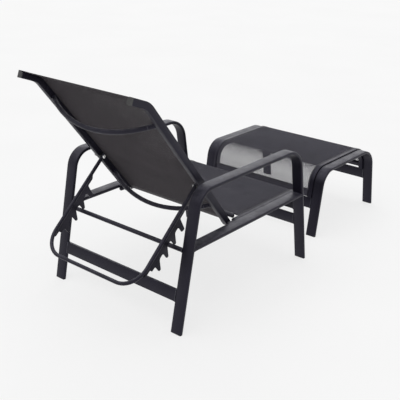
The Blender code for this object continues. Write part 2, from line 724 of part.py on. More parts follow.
# ---- footstool ----
def footstool(base):
    def one_side(name, sign):
        side_frame("stool_frame_" + name, stool, sign, STOOL_SHIFT, base)
        glide("stool_rear_foot_" + name, stool, False, sign, STOOL_SHIFT, base)
        glide("stool_front_foot_" + name, stool, True, sign, STOOL_SHIFT, base)
        cuts = [(Vector((0, 0, z)), Vector((0, 0, 1))) for z in rail_ends]
        line = stool.line(-STOOL_PROUD, rail_ends[1], rail_ends[0])[::-1]
        rail_between("stool_rail_" + name, line, sign, seat_rail_outer, STOOL_SHIFT, base, *cuts)

    tilt = TUBE_THIN / 2 * STOOL_REAR_LEAN + GAP       # a leaning bar's highest edge
    rail_ends = (STOOL_FRONT_BAR[1] + tilt, STOOL_REAR_BAR[1] + tilt)
    both_sides(one_side)
    inner = seat_rail_outer - SLING_RAIL_WIDE
    for end, heights, cloth_heights in (("rear", STOOL_REAR_BAR, STOOL_REAR_FABRIC_BAR),
                                        ("front", STOOL_FRONT_BAR, STOOL_FRONT_FABRIC_BAR)):
        front = end == "front"
        crossbar(f"stool_{end}_crossbar", stool, front, heights, frame_inner - GAP, TUBE_THIN,
                 TUBE_THIN / 2, STOOL_SHIFT, base)
        crossbar(f"stool_{end}_fabric_bar", stool, front, cloth_heights, inner - GAP, FABRIC_BAR_THIN,
                 FABRIC_BAR_THIN / 2 + 0.002 - STOOL_PROUD, STOOL_SHIFT, base)
    rear_hem, front_hem = STOOL_REAR_FABRIC_BAR[1] + 3 * GAP, STOOL_FRONT_FABRIC_BAR[1] + 3 * GAP
    line = stool.line(-STOOL_PROUD, rear_hem, front_hem)[::-1]
    sling("stool_sling", line, inner + STEP_WIDE - GAP, STOOL_SHIFT, base)


def centre_model():
    """Shift the whole model so that the origin is on the floor, under the middle of its box."""
    bpy.context.view_layer.update()
    pieces = [obj for obj in bpy.context.scene.objects if obj.type == "MESH" and not obj.hide_render]
    points = [obj.matrix_world @ v.co for obj in pieces for v in obj.data.vertices]
    low = Vector([min(p[i] for p in points) for i in range(3)])
    high = Vector([max(p[i] for p in points) for i in range(3)])
    shift = Vector(((low.x + high.x) / 2, (low.y + high.y) / 2, low.z))
    for obj in bpy.context.scene.objects:
        if obj.parent is None:
            obj.location -= shift
    return shift


back_pivot = axis_empty("back_pivot", (0.0, *hinge_place))
stay_swing = axis_empty("stay_swing", (0.0, *STAY_PIVOT), back_pivot)
stool_base = axis_empty("stool_base", (STOOL_SHIFT, STOOL_START, 0.0))
chair_frame()
seat()
backrest(back_pivot)
stay(stay_swing, back_pivot)
footstool(stool_base)
centre_model()
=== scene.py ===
"""Looks of the reclining sun lounger with its footstool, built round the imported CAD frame.

Metres, +Z up, the chair faces -Y, the sitter's left is +X.
"""
import math

import bmesh
import bpy
from mathutils import Matrix, Vector


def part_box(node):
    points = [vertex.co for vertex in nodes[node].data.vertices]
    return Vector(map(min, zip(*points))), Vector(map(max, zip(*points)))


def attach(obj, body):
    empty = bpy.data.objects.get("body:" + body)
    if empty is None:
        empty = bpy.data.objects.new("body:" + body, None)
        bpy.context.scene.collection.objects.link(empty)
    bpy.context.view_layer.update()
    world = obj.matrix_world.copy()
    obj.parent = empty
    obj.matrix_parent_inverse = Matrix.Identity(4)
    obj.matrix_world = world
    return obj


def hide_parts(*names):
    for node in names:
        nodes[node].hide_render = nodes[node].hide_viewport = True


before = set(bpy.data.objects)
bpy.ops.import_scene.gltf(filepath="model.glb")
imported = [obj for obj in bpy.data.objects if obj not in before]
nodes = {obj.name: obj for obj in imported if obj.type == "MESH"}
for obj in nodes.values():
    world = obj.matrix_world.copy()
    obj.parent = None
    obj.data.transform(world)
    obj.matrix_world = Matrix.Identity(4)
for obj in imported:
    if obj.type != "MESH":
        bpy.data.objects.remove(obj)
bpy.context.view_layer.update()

# ---- sizes ----
YARN_PITCH = 0.0017          # textilene mesh: yarn to yarn, both ways
YARN_WIDE = 0.00046
YARN_THICK = 0.0006
EDGE_BAND = 0.011            # opaque doubled edge along the rails
EDGE_GROOVE = 0.0028         # dark groove left between that edge and the rail
SEAT_SAG = 0.005
BACK_SAG = 0.004
STOOL_SAG = 0.004
STITCH_LENGTH = 0.0034
STITCH_PITCH = 0.0046
STITCH_RADIUS = 0.00042
STITCH_LEVEL = 0.00105       # sling's middle to the thread's middle, on both faces
STITCH_INSET = 0.004         # sling's edge to the first stitch of a hem's row
HEM_ROWS = (0.003, 0.008)    # rows of stitches, from a hem's inner edge
COLUMN_INSET = 0.003         # column of stitches, from the edge band's inner side
COLUMN_START = 0.002
COLUMN_END = 0.004
BAND_THICK = 0.0017          # doubled edge bands
HEM_THICK = 0.0019           # doubled end hems
BAND_COLUMNS = 2
HEM_COLUMNS = 6
MESH_LAP = 0.002             # the open mesh runs this far under the edge bands
STATION_STEP = 0.03          # longest stretch between two stations along a sling
SLEEVE_GROW = 0.0009         # a hem pocket stands this far outside its bar
SLEEVE_STEP = 0.004
SLEEVE_STEPS = 24
SLEEVE_INSET = 0.0015
PUCKER = 0.02
PUCKER_TURN = 1.9
BEAD_RADIUS = 0.0015
BEAD_OFFSET = 0.00015        # from the tube's end face to the bead's middle
BEAD_STEP = 0.0022
BEAD_SINK = 0.35             # share of the radius that lies in the corner
BEAD_RIPPLE = 0.16
BEAD_TURN = 2.4
SOCKET_WIDE = 0.42           # bolt heads: share of the head's radius
SOCKET_DEEP = 0.62           # share of the head's height
SMALL_HEAD = 0.0072          # heads under this radius take the first height, others the second
HEAD_TALL = (0.0040, 0.0050)
SHANK_RADIUS = 0.0040


# ---- materials ----
class Shader:
    """A node material around one Principled shader, with short names for the nodes it is made of."""

    def __init__(self, name):
        self.material = bpy.data.materials.new(name)
        self.material.use_nodes = True
        self.tree = self.material.node_tree
        self.out = self.tree.nodes["Principled BSDF"]
        self.place = self.add("ShaderNodeTexCoord").outputs["Object"]

    def add(self, kind, **settings):
        node = self.tree.nodes.new(kind)
        for key, value in settings.items():
            setattr(node, key, value)
        return node

    def feed(self, socket, value):
        if isinstance(value, bpy.types.NodeSocket):
            self.tree.links.new(value, socket)
        else:
            socket.default_value = value

    def set(self, name, value):
        self.feed(self.out.inputs[name], value)

    def noise(self, scale, detail=2.0, roughness=0.5, place=None):
        node = self.add("ShaderNodeTexNoise")
        self.feed(node.inputs["Vector"], place or self.place)
        node.inputs["Scale"].default_value = scale
        node.inputs["Detail"].default_value = detail
        node.inputs["Roughness"].default_value = roughness
        return node.outputs["Fac"]

    def stretch(self, scale):
        node = self.add("ShaderNodeMapping")
        self.feed(node.inputs["Vector"], self.place)
        node.inputs["Scale"].default_value = scale
        return node.outputs["Vector"]

    def span(self, value, low, high, to_low, to_high):
        node = self.add("ShaderNodeMapRange")
        self.feed(node.inputs["Value"], value)
        ends = (("From Min", low), ("From Max", high), ("To Min", to_low), ("To Max", to_high))
        for key, number in ends:
            node.inputs[key].default_value = number
        return node.outputs["Result"]

    def math(self, operation, a, b=0.0):
        node = self.add("ShaderNodeMath", operation=operation)
        self.feed(node.inputs[0], a)
        self.feed(node.inputs[1], b)
        return node.outputs[0]

    def mix(self, factor, a, b):
        node = self.add("ShaderNodeMix", data_type="RGBA")
        self.feed(node.inputs["Factor"], factor)
        self.feed(node.inputs["A"], a)
        self.feed(node.inputs["B"], b)
        return node.outputs["Result"]

    def bump(self, height, distance, strength=1.0, below=None):
        node = self.add("ShaderNodeBump")
        node.inputs["Strength"].default_value = strength
        node.inputs["Distance"].default_value = distance
        self.feed(node.inputs["Height"], height)
        if below is not None:
            self.feed(node.inputs["Normal"], below)
        return node.outputs["Normal"]

    def edges(self, radius, low, high):
        """From 0 on flat faces to 1 on sharp edges."""
        soft = self.add("ShaderNodeBevel", samples=4)
        soft.inputs["Radius"].default_value = radius
        true = self.add("ShaderNodeNewGeometry")
        dot = self.add("ShaderNodeVectorMath", operation="DOT_PRODUCT")
        self.feed(dot.inputs[0], soft.outputs["Normal"])
        self.feed(dot.inputs[1], true.outputs["Normal"])
        return self.span(dot.outputs["Value"], high, low, 0.0, 1.0)

    def upward(self):
        """From 0 on walls to 1 on faces that look up: where dust settles, and where the tops are painted
        lighter as painted light from above.
        """
        normal = self.add("ShaderNodeNewGeometry").outputs["Normal"]
        split = self.add("ShaderNodeSeparateXYZ")
        self.feed(split.inputs[0], normal)
        return self.span(split.outputs["Z"], 0.35, 0.95, 0.0, 1.0)


def grey(value, tint=(1.0, 1.0, 1.0)):
    return (value * tint[0], value * tint[1], value * tint[2], 1.0)


COOL = (1.05, 0.98, 1.7)


def powder_coat(name, dark=0.0055, light=0.0085, rough=(0.36, 0.50)):
    s = Shader(name)
    cloudy = s.noise(7.0, 3.0)
    grain = s.noise(900.0, 2.0, 0.6)
    sand = s.noise(3200.0, 1.0)
    colour = s.mix(s.span(cloudy, 0.35, 0.65, 0.0, 1.0), grey(dark, COOL), grey(light, COOL))
    fleck = s.math("MULTIPLY", s.span(grain, 0.55, 0.75, 0.0, 1.0), 0.25)
    colour = s.mix(fleck, colour, grey(0.020, COOL))
    # dust on faces that look up, together with painted light: the top faces painted lighter as if lit from
    # above
    dust_and_top_light = s.math("MULTIPLY", s.upward(), s.span(s.noise(34.0, 5.0, 0.65), 0.40, 0.70, 0.15, 0.55))
    colour = s.mix(s.math("MULTIPLY", dust_and_top_light, 0.45), colour, grey(0.22, (0.95, 0.94, 1.14)))
    rubbed = s.span(s.noise(60.0, 4.0, 0.7), 0.50, 0.66, 0.0, 0.45)
    worn = s.math("MULTIPLY", s.edges(0.0012, 0.80, 0.97), rubbed)
    colour = s.mix(worn, colour, grey(0.060, COOL))
    s.set("Base Color", colour)
    patch = s.span(s.noise(18.0, 4.0, 0.6), 0.30, 0.70, rough[0], rough[1])
    s.set("Roughness", s.math("ADD", patch, s.math("MULTIPLY", dust_and_top_light, 0.10)))
    s.set("Specular IOR Level", 0.27)
    s.set("Specular Tint", (0.83, 0.79, 1.0, 1.0))
    skin = s.bump(grain, 0.00012, 0.55)
    s.set("Normal", s.bump(sand, 0.00005, 0.5, skin))
    return s.material


def mesh_cloth(name, low, high, tint, shine, rough=0.62):
    """Dark polyester yarn in a clear vinyl coat."""
    s = Shader(name)
    tone = s.span(s.noise(14.0, 4.0, 0.6), 0.32, 0.68, 0.0, 1.0)
    slub = s.noise(420.0, 3.0, 0.7)
    colour = s.mix(tone, grey(low, tint), grey(high, tint))
    lint = s.math("MULTIPLY", s.span(slub, 0.50, 0.75, 0.0, 1.0), 0.35)
    colour = s.mix(lint, colour, grey(high * 1.9, tint))
    s.set("Base Color", colour)
    s.set("Roughness", s.span(slub, 0.25, 0.75, rough - 0.14, rough + 0.12))
    s.set("Specular IOR Level", 0.40)
    s.set("Specular Tint", shine)
    s.set("Sheen Weight", 0.06)
    s.set("Sheen Roughness", 0.5)
    s.set("Normal", s.bump(slub, 0.00015, 0.5))
    return s.material


def hem_cloth(name, low, high, tint, shine):
    """Doubled textilene, closed, with its ribs as relief and painted shade in the grooves between them."""
    s = Shader(name)
    split = s.add("ShaderNodeSeparateXYZ")
    s.feed(split.inputs[0], s.place)

    def rib(axis):
        turns = s.math("MULTIPLY", split.outputs[axis], 2 * math.pi / YARN_PITCH)
        return s.span(s.math("SINE", turns), -1.0, 1.0, 0.0, 1.0)

    ribs = s.math("MAXIMUM", rib("X"), s.math("MULTIPLY", s.math("MAXIMUM", rib("Y"), rib("Z")), 0.8))
    slub = s.noise(380.0, 3.0, 0.7)
    tone = s.span(s.noise(20.0, 3.0), 0.35, 0.65, 0.0, 1.0)
    colour = s.mix(tone, grey(low, tint), grey(high, tint))
    # painted shade: the grooves between the ribs are painted darker
    colour = s.mix(s.span(ribs, 0.15, 0.75, 0.65, 0.0), colour, grey(low * 0.35))
    s.set("Base Color", colour)
    s.set("Roughness", s.span(slub, 0.25, 0.75, 0.52, 0.74))
    s.set("Specular IOR Level", 0.40)
    s.set("Specular Tint", shine)
    height = s.math("ADD", ribs, s.math("MULTIPLY", slub, 0.25))
    s.set("Normal", s.bump(height, 0.00030, 0.8))
    return s.material


def thread(name):
    s = Shader(name)
    twist = s.noise(1500.0, 2.0)
    s.set("Base Color", s.mix(twist, grey(0.020), grey(0.060)))
    s.set("Roughness", s.span(twist, 0.3, 0.7, 0.50, 0.70))
    s.set("Normal", s.bump(twist, 0.0001, 0.6))
    return s.material


def bright_steel(name):
    s = Shader(name)
    brushed = s.noise(90.0, 4.0, 0.7, s.stretch((40.0, 2.0, 2.0)))
    spots = s.noise(260.0, 4.0, 0.6)
    dull = grey(0.62, (1.0, 0.98, 0.95))
    s.set("Base Color", s.mix(s.span(spots, 0.45, 0.72, 0.0, 0.6), grey(0.90), dull))
    s.set("Metallic", 1.0)
    s.set("Roughness", s.span(brushed, 0.30, 0.70, 0.24, 0.42))
    s.set("Normal", s.bump(brushed, 0.00006, 0.4))
    return s.material


def moulded_plastic(name, low, high, rough=(0.42, 0.60)):
    s = Shader(name)
    grain = s.noise(1400.0, 3.0, 0.7)
    flow = s.noise(40.0, 3.0)
    colour = s.mix(s.span(flow, 0.35, 0.65, 0.0, 1.0), grey(low), grey(high))
    rubbed = s.span(s.noise(150.0, 4.0, 0.7), 0.45, 0.65, 0.0, 0.5)
    scuff = s.math("MULTIPLY", s.edges(0.0010, 0.85, 0.97), rubbed)
    s.set("Base Color", s.mix(scuff, colour, grey(high * 1.8 + 0.02)))
    s.set("Roughness", s.span(grain, 0.30, 0.70, rough[0], rough[1]))
    s.set("Normal", s.bump(grain, 0.00010, 0.6))
    return s.material


def weld_metal(name):
    """Powder coat over a weld: the same bluish tone, fuller and glossier, with its colour painted lighter
    than the frame's coat as a painted highlight.
    """
    s = Shader(name)
    ripple = s.noise(520.0, 3.0, 0.6)
    # painted highlight: the bead's colour is painted lighter than the frame's coat
    s.set("Base Color", s.mix(ripple, grey(0.012, COOL), grey(0.034, COOL)))
    s.set("Roughness", s.span(ripple, 0.30, 0.70, 0.22, 0.36))
    s.set("Specular IOR Level", 0.60)
    s.set("Normal", s.bump(ripple, 0.00025, 0.8))
    return s.material


def floor_paint(name):
    s = Shader(name)
    cloud = s.noise(1.3, 4.0, 0.55)
    fine = s.noise(240.0, 3.0)
    s.set("Base Color", s.mix(s.span(cloud, 0.35, 0.65, 0.0, 1.0), grey(0.190), grey(0.200)))
    s.set("Emission Color", (1.0, 1.0, 1.0, 1.0))
    s.set("Emission Strength", 0.72)
    s.set("Roughness", s.span(fine, 0.3, 0.7, 0.55, 0.70))
    s.set("Specular IOR Level", 0.0)
    s.set("Normal", s.bump(fine, 0.0002, 0.10))
    return s.material


FRAME_COAT = powder_coat("frame_powder_coat")
STAY_COAT = powder_coat("stay_powder_coat", 0.0050, 0.0080, (0.34, 0.46))
COOL_TINT = (1.05, 1.00, 1.38)
COOL_SHINE = (0.91, 0.88, 1.0, 1.0)
WARM_LIGHT_TINT = (1.12, 0.96, 1.12)
WARM_LIGHT_SHINE = (1.0, 0.91, 0.97, 1.0)
CLOTH = mesh_cloth("textilene_yarn", 0.034, 0.044, COOL_TINT, COOL_SHINE)
HEM = hem_cloth("textilene_hem", 0.020, 0.030, COOL_TINT, COOL_SHINE)
# the same cloth as a lit and shaded copy: the back's darker, warmer tones are painted shade and painted
# warm light
SHADED_BACK_CLOTH = mesh_cloth("textilene_yarn_back_painted_shade", 0.023, 0.031, WARM_LIGHT_TINT, WARM_LIGHT_SHINE)
SHADED_BACK_HEM = hem_cloth("textilene_hem_back_painted_shade", 0.019, 0.028, WARM_LIGHT_TINT, WARM_LIGHT_SHINE)
THREAD = thread("sewing_thread")
BRIGHT = bright_steel("zinc_plated_steel")
FOOT = moulded_plastic("foot_plastic", 0.012, 0.018)
SPACER = moulded_plastic("spacer_plastic", 0.018, 0.026, (0.35, 0.50))
CAP = moulded_plastic("cap_plastic", 0.030, 0.042)
WELD = weld_metal("coated_weld_painted_highlight")

# ---- the CAD nodes that show ----
LOOKS = {"powder_coat": FRAME_COAT, "steel": BRIGHT, "black_plastic": FOOT, "grey_plastic": CAP}
for name, node in nodes.items():
    slot = node.data.materials[0].name.split(".")[0] if node.data.materials else "powder_coat"
    look = LOOKS.get(slot, CLOTH)
    if name.startswith(("stay_bail", "notch_plate")):
        look = STAY_COAT
    elif "spacer" in name:
        look = SPACER
    node.data.materials.clear()
    node.data.materials.append(look)
    if "custom_normal" in node.data.attributes:
        node.data.attributes.remove(node.data.attributes["custom_normal"])
    for face in node.data.polygons:
        face.use_smooth = True
    weld = node.modifiers.new("weld", "WELD")
    weld.merge_threshold = 0.00002
    split = node.modifiers.new("split", "EDGE_SPLIT")
    split.split_angle = math.radians(36)


# ---- mesh helpers ----
def piece(name, bm, material, body, smooth=True, angle=40.0):
    bmesh.ops.recalc_face_normals(bm, faces=bm.faces)
    mesh = bpy.data.meshes.new(name)
    bm.to_mesh(mesh)
    bm.free()
    if smooth:
        mesh.shade_smooth()
        mesh.set_sharp_from_angle(angle=math.radians(angle))
    mesh.materials.append(material)
    obj = bpy.data.objects.new(name, mesh)
    bpy.context.scene.collection.objects.link(obj)
    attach(obj, body)
    return obj


def side_loop(node):
    """The outline of a swept node's end face at its highest X, as (Y, Z) points in order."""
    mesh = node.data
    high = max(v.co.x for v in mesh.vertices)

    def key(index):
        co = mesh.vertices[index].co
        return (round(co.y, 5), round(co.z, 5))

    counts = {}
    for face in mesh.polygons:
        if all(abs(mesh.vertices[i].co.x - high) < 1e-5 for i in face.vertices):
            corners = [key(i) for i in face.vertices]
            for a, b in zip(corners, corners[1:] + corners[:1]):
                if a != b:
                    pair = (a, b) if a < b else (b, a)
                    counts[pair] = counts.get(pair, 0) + 1
    joined = {}
    for (a, b), count in counts.items():
        if count == 1:
            joined.setdefault(a, []).append(b)
            joined.setdefault(b, []).append(a)
    start = min(joined)
    loop = [start, joined[start][0]]
    while len(loop) < len(joined):
        after = [p for p in joined[loop[-1]] if p != loop[-2]]
        loop.append(after[0])
    return [Vector(p) for p in loop]


def middle_line(name):
    """The line halfway through a sling's thickness, from its first end to its last, in (Y, Z)."""
    loop = side_loop(nodes[name])
    count = len(loop)
    best = None
    for turn in range(count):
        pairs = [(loop[(turn + k) % count], loop[(turn - 1 - k) % count]) for k in range(count // 2)]
        worst = max((a - b).length for a, b in pairs)
        if best is None or worst < best[0]:
            best = (worst, pairs)
    return [(a + b) / 2 for a, b in best[1]]


class Strip:
    """A sling's middle line with distances along it, and the direction of its sitter's face."""

    def __init__(self, name):
        points = middle_line(name)
        if points[0].y > points[-1].y:
            points.reverse()
        self.points = [points[0]]
        for a, b in zip(points, points[1:]):
            steps = max(1, math.ceil((b - a).length / STATION_STEP))
            self.points += [a.lerp(b, k / steps) for k in range(1, steps + 1)]
        self.along = [0.0]
        for a, b in zip(self.points, self.points[1:]):
            self.along.append(self.along[-1] + (b - a).length)
        self.length = self.along[-1]
        low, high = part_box(name)
        self.half = (high.x - low.x) / 2
        self.centre = (high.x + low.x) / 2

    def run(self, i):
        last = len(self.points) - 1
        return (self.points[min(i + 1, last)] - self.points[max(i - 1, 0)]).normalized()

    def face(self, i):
        run = self.run(i)
        return Vector((-run.y, run.x))

    def at(self, distance):
        """Point, run and sitter's direction at a distance along the line."""
        distance = min(max(distance, 0.0), self.length)
        i = max(k for k in range(len(self.along)) if self.along[k] <= distance + 1e-9)
        i = min(i, len(self.along) - 2)
        share = (distance - self.along[i]) / (self.along[i + 1] - self.along[i])
        point = self.points[i].lerp(self.points[i + 1], share)
        run = (self.points[i + 1] - self.points[i]).normalized()
        face = (self.face(i) * (1 - share) + self.face(i + 1) * share).normalized()
        return point, run, face


def box_rod(bm, rings):
    """A rod with four sides through rings of four places, with flat ends."""
    verts = [[bm.verts.new(p) for p in ring] for ring in rings]
    for low, high in zip(verts, verts[1:]):
        for k in range(4):
            bm.faces.new((low[k], low[(k + 1) % 4], high[(k + 1) % 4], high[k]))
    bm.faces.new(verts[0])
    bm.faces.new(verts[-1])


def sag_at(share, distance, sag, flat):
    """How far the cloth hangs at share (-1 to 1) of its width and a distance along the flat stretch."""
    low, high = flat
    if not low < distance < high:
        return 0.0
    return sag * (1 - share * share) * math.sin(math.pi * (distance - low) / (high - low)) ** 0.8


def woven(name, strip, body, node, sag, flat, ends, material):
    """The see-through mesh itself: warp yarns along the sling, weft yarns across it."""
    bm = bmesh.new()
    half = strip.half - EDGE_BAND + MESH_LAP
    count = int(2 * half / YARN_PITCH)
    first, last = ends
    stations = [first] + [d for d in strip.along if first + 0.001 < d < last - 0.001] + [last]
    lift = YARN_THICK * 0.44
    wide, thick = YARN_WIDE / 2, YARN_THICK / 2
    spots = [(d, *strip.at(d)) for d in stations]
    for k in range(count + 1):
        x = (k - count / 2) * YARN_PITCH
        share = x / strip.half
        rings = []
        for d, point, run, face in spots:
            hang = sag_at(share, d, sag, flat)
            rings.append([(strip.centre + x + a * wide, *(point + face * (lift + b * thick - hang)))
                          for a, b in ((-1, -1), (1, -1), (1, 1), (-1, 1))])
        box_rod(bm, rings)
    rows = int((last - first) / YARN_PITCH)
    steps = 6
    for k in range(rows + 1):
        d = first + k * YARN_PITCH
        point, run, face = strip.at(d)
        rings = []
        for j in range(steps + 1):
            share = 2 * j / steps - 1
            hang = sag_at(share * half / strip.half, d, sag, flat)
            middle = point + face * (-lift - hang)
            x = strip.centre + share * half
            rings.append([(x, *(middle + run * (a * wide) + face * (b * thick)))
                          for a, b in ((-1, -1), (1, -1), (1, 1), (-1, 1))])
        box_rod(bm, rings)
    obj = piece(name, bm, material, body, smooth=False)
    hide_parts(node)
    return obj


def slab(name, strip, body, x_low, x_high, start, end, thick, material, columns=1, sag=0.0, flat=(0, 0)):
    """A closed band of doubled cloth that follows the sling."""
    bm = bmesh.new()
    stations = [start] + [d for d in strip.along if start + 0.0008 < d < end - 0.0008] + [end]
    rings = []
    for d in stations:
        point, run, face = strip.at(d)
        ring = []
        for side in (1, -1):
            for j in range(columns + 1):
                t = j / columns if side > 0 else 1 - j / columns
                x = x_low + (x_high - x_low) * t
                hang = sag_at(x / strip.half, d, sag, flat)
                y_z = point + face * (side * thick / 2 - hang)
                ring.append(bm.verts.new((strip.centre + x, *y_z)))
        rings.append(ring)
    count = len(rings[0])
    for low, high in zip(rings, rings[1:]):
        for k in range(count):
            bm.faces.new((low[k], low[(k + 1) % count], high[(k + 1) % count], high[k]))
    bm.faces.new(rings[0])
    bm.faces.new(rings[-1])
    return piece(name, bm, material, body, angle=50.0)


def stitch(bm, place, run, face, across):
    """One stitch: a short thread that dips in at both ends."""
    half = STITCH_LENGTH / 2
    spots = [(-half, -0.9, 0.35), (-half * 0.7, 0.15, 1.0), (half * 0.7, 0.15, 1.0), (half, -0.9, 0.35)]
    rings = []
    for step, rise, size in spots:
        centre = place + run * step + face * (rise * STITCH_RADIUS)
        rings.append([centre + (across * a + face * b) * (STITCH_RADIUS * size)
                      for a, b in ((-1, 0), (0, -1), (1, 0), (0, 1))])
    box_rod(bm, rings)


def stitching(name, strip, body, rows, columns):
    """Both faces: rows across the sling at distances, and columns along it at places in X."""
    bm = bmesh.new()
    across = Vector((1, 0, 0))
    for distance, half in rows:
        point, run, face = strip.at(distance)
        for side in (1, -1):
            up = Vector((0, *face)) * side
            base = Vector((strip.centre, *point)) + up * STITCH_LEVEL
            count = int(2 * half / STITCH_PITCH)
            for k in range(count + 1):
                x = (k - count / 2) * STITCH_PITCH
                stitch(bm, base + across * x, across, up, Vector((0, *run)))
    for x, start, end in columns:
        count = int((end - start) / STITCH_PITCH)
        for k in range(count + 1):
            point, run, face = strip.at(start + (k + 0.5) * STITCH_PITCH)
            for side in (1, -1):
                up = Vector((0, *face)) * side
                base = Vector((strip.centre + x, *point)) + up * STITCH_LEVEL
                stitch(bm, base, Vector((0, *run)), up, across)
    return piece(name, bm, THREAD, body)


def closed_sweep(bm, path, outline):
    """Rings of outline (across, up) along a closed path of (place, across, up)."""
    rings = [[bm.verts.new(place + a * p[0] + b * p[1]) for p in outline] for place, a, b in path]
    count = len(outline)
    for low, high in zip(rings, rings[1:] + rings[:1]):
        for k in range(count):
            bm.faces.new((low[k], low[(k + 1) % count], high[(k + 1) % count], high[k]))


def hull(points):
    """Convex hull of flat points, counter-clockwise."""
    points = sorted(set(points))

    def chain(order):
        out = []
        for p in order:
            while len(out) > 1 and ((out[-1][0] - out[-2][0]) * (p[1] - out[-2][1])
                                    - (out[-1][1] - out[-2][1]) * (p[0] - out[-2][0])) <= 1e-12:
                out.pop()
            out.append(p)
        return out[:-1]

    return chain(points) + chain(points[::-1])


def spaced(points, step):
    """A closed outline with points a step apart."""
    out = []
    for a, b in zip(points, points[1:] + points[:1]):
        a, b = Vector(a), Vector(b)
        steps = max(1, round((b - a).length / step))
        out += [a.lerp(b, k / steps) for k in range(steps)]
    return out


def weld_bead(bm, name, axis, sign):
    """A bead of weld round one end of a tube, where it meets the face it is welded to."""
    verts = [v.co for v in nodes[name].data.vertices]
    values = [v[axis] for v in verts]
    middle, reach = (min(values) + max(values)) / 2, (max(values) - min(values)) / 2
    end = [v for v in verts if (v[axis] - middle) * sign > 0.90 * reach]
    others = [i for i in range(3) if i != axis]
    flat = hull([(round(v[others[0]], 5), round(v[others[1]], 5)) for v in end])
    loop = spaced(flat, BEAD_STEP)
    centre = sum(loop, Vector((0, 0))) / len(loop)

    def level(p):
        """The end face's place along the axis near a point of the outline."""
        near = min(end, key=lambda v: (v[others[0]] - p[0]) ** 2 + (v[others[1]] - p[1]) ** 2)
        return near[axis]

    path = []
    for i, p in enumerate(loop):
        out = (p - centre).normalized()
        ripple = 1.0 + BEAD_RIPPLE * math.sin(i * BEAD_TURN)
        place = [0.0, 0.0, 0.0]
        place[others[0]], place[others[1]] = p
        place[axis] = level(p) + sign * BEAD_OFFSET
        outward = [0.0, 0.0, 0.0]
        outward[others[0]], outward[others[1]] = out
        along = [0.0, 0.0, 0.0]
        along[axis] = sign
        path.append((Vector(place), Vector(outward) * ripple, Vector(along) * ripple))
    sides = [math.radians(a) for a in range(0, 360, 60)]
    ring = [(BEAD_RADIUS * math.cos(a), BEAD_RADIUS * math.sin(a) - BEAD_RADIUS * BEAD_SINK)
            for a in sides]
    closed_sweep(bm, path, ring)


# ---- slings ----
def sling(prefix, node, body, sag, flat_ends, bands, yarn, hem):
    """A sling with its open mesh, doubled edges, doubled end hems and sewing.

    flat_ends are the stretches at its two ends that don't sag, and bands its two hems' lengths.
    """
    strip = Strip(node)
    band_start, band_end = bands
    hem_half = strip.half - EDGE_BAND
    flat = (flat_ends[0], strip.length - flat_ends[1])
    ends = (band_start, strip.length - band_end)
    for side, sign in (("left", 1), ("right", -1)):
        inner, outer = sign * (strip.half - EDGE_BAND), sign * (strip.half - EDGE_GROOVE)
        low, high = min(inner, outer), max(inner, outer)
        slab(f"{prefix}_edge_{side}", strip, body, low, high, 0.0, strip.length,
                           BAND_THICK, hem, BAND_COLUMNS)
    slab(f"{prefix}_hem_first", strip, body, -hem_half, hem_half,
                       0.0, band_start, HEM_THICK, hem, HEM_COLUMNS, sag, flat)
    slab(f"{prefix}_hem_last", strip, body, -hem_half, hem_half,
                       strip.length - band_end, strip.length, HEM_THICK, hem, HEM_COLUMNS, sag, flat)
    rows = []
    for start, band, sign in ((0.0, band_start, 1), (strip.length, band_end, -1)):
        rows += [(start + sign * (band - inset), strip.half - STITCH_INSET) for inset in HEM_ROWS]
    columns = [(sign * (hem_half + COLUMN_INSET), COLUMN_START, strip.length - COLUMN_END)
               for sign in (-1, 1)]
    stitching(f"{prefix}_stitching", strip, body, rows, columns)
    cloth = woven(f"{prefix}_cloth", strip, body, node, sag, flat, ends, yarn)


sling("seat", "seat_sling", "chair_frame", SEAT_SAG, (0.12, 0.02), (0.012, 0.030),
      CLOTH, HEM)
sling("back", "back_sling", "backrest", BACK_SAG, (0.03, 0.10), (0.028, 0.024),
      SHADED_BACK_CLOTH, SHADED_BACK_HEM)
sling("stool", "stool_sling", "footstool", STOOL_SAG, (0.17, 0.17), (0.006, 0.006),
      CLOTH, HEM)


def sleeve(name, bar, body):
    """The hem pocket round a bar: cloth wrapped close round the bar's own outline."""
    verts = [v.co for v in nodes[bar].data.vertices]
    low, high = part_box(bar)
    points = hull([(round(v.y, 5), round(v.z, 5)) for v in verts])
    centre = Vector(((low.y + high.y) / 2, (low.z + high.z) / 2))
    loop = spaced(points, SLEEVE_STEP)
    ring = []
    for i, p in enumerate(loop):
        run = (loop[(i + 1) % len(loop)] - loop[i - 1]).normalized()
        out = Vector((run.y, -run.x))
        if out.dot(p - centre) < 0:
            out = -out
        ring.append(p + out * SLEEVE_GROW)
    bm = bmesh.new()
    ends = [low.x + SLEEVE_INSET, high.x - SLEEVE_INSET]
    rings = []
    for k in range(SLEEVE_STEPS + 1):
        x = ends[0] + (ends[1] - ends[0]) * k / SLEEVE_STEPS
        pucker = 1.0 + PUCKER * math.sin(k * PUCKER_TURN)
        rings.append([bm.verts.new((x, centre.x + (p.x - centre.x) * pucker, p.y)) for p in ring])
    count = len(ring)
    for a, b in zip(rings, rings[1:]):
        for k in range(count):
            bm.faces.new((a[k], a[(k + 1) % count], b[(k + 1) % count], b[k]))
    bm.faces.new(rings[0])
    bm.faces.new(rings[-1])
    return piece(name, bm, HEM, body, angle=50.0)


for bar, body in (("seat_fabric_bar", "chair_frame"), ("stool_rear_fabric_bar", "footstool"),
                  ("stool_front_fabric_bar", "footstool")):
    sleeve(bar.replace("fabric_bar", "hem_pocket"), bar, body)


# ---- welds ----
def welds(name, body, ends):
    bm = bmesh.new()
    for node, axis in ends:
        for sign in (1, -1):
            weld_bead(bm, node, axis, sign)
    piece(name, bm, WELD, body)


welds("chair_welds", "chair_frame", [("rear_crossbar", 0), ("front_crossbar", 0), ("catch_bar", 0),
                                     ("side_rail_left", 1), ("side_rail_right", 1)])
welds("back_welds", "backrest", [("back_brace_upper", 0), ("back_brace_lower", 0)])
welds("stool_welds", "footstool", [("stool_rear_crossbar", 0), ("stool_front_crossbar", 0)])


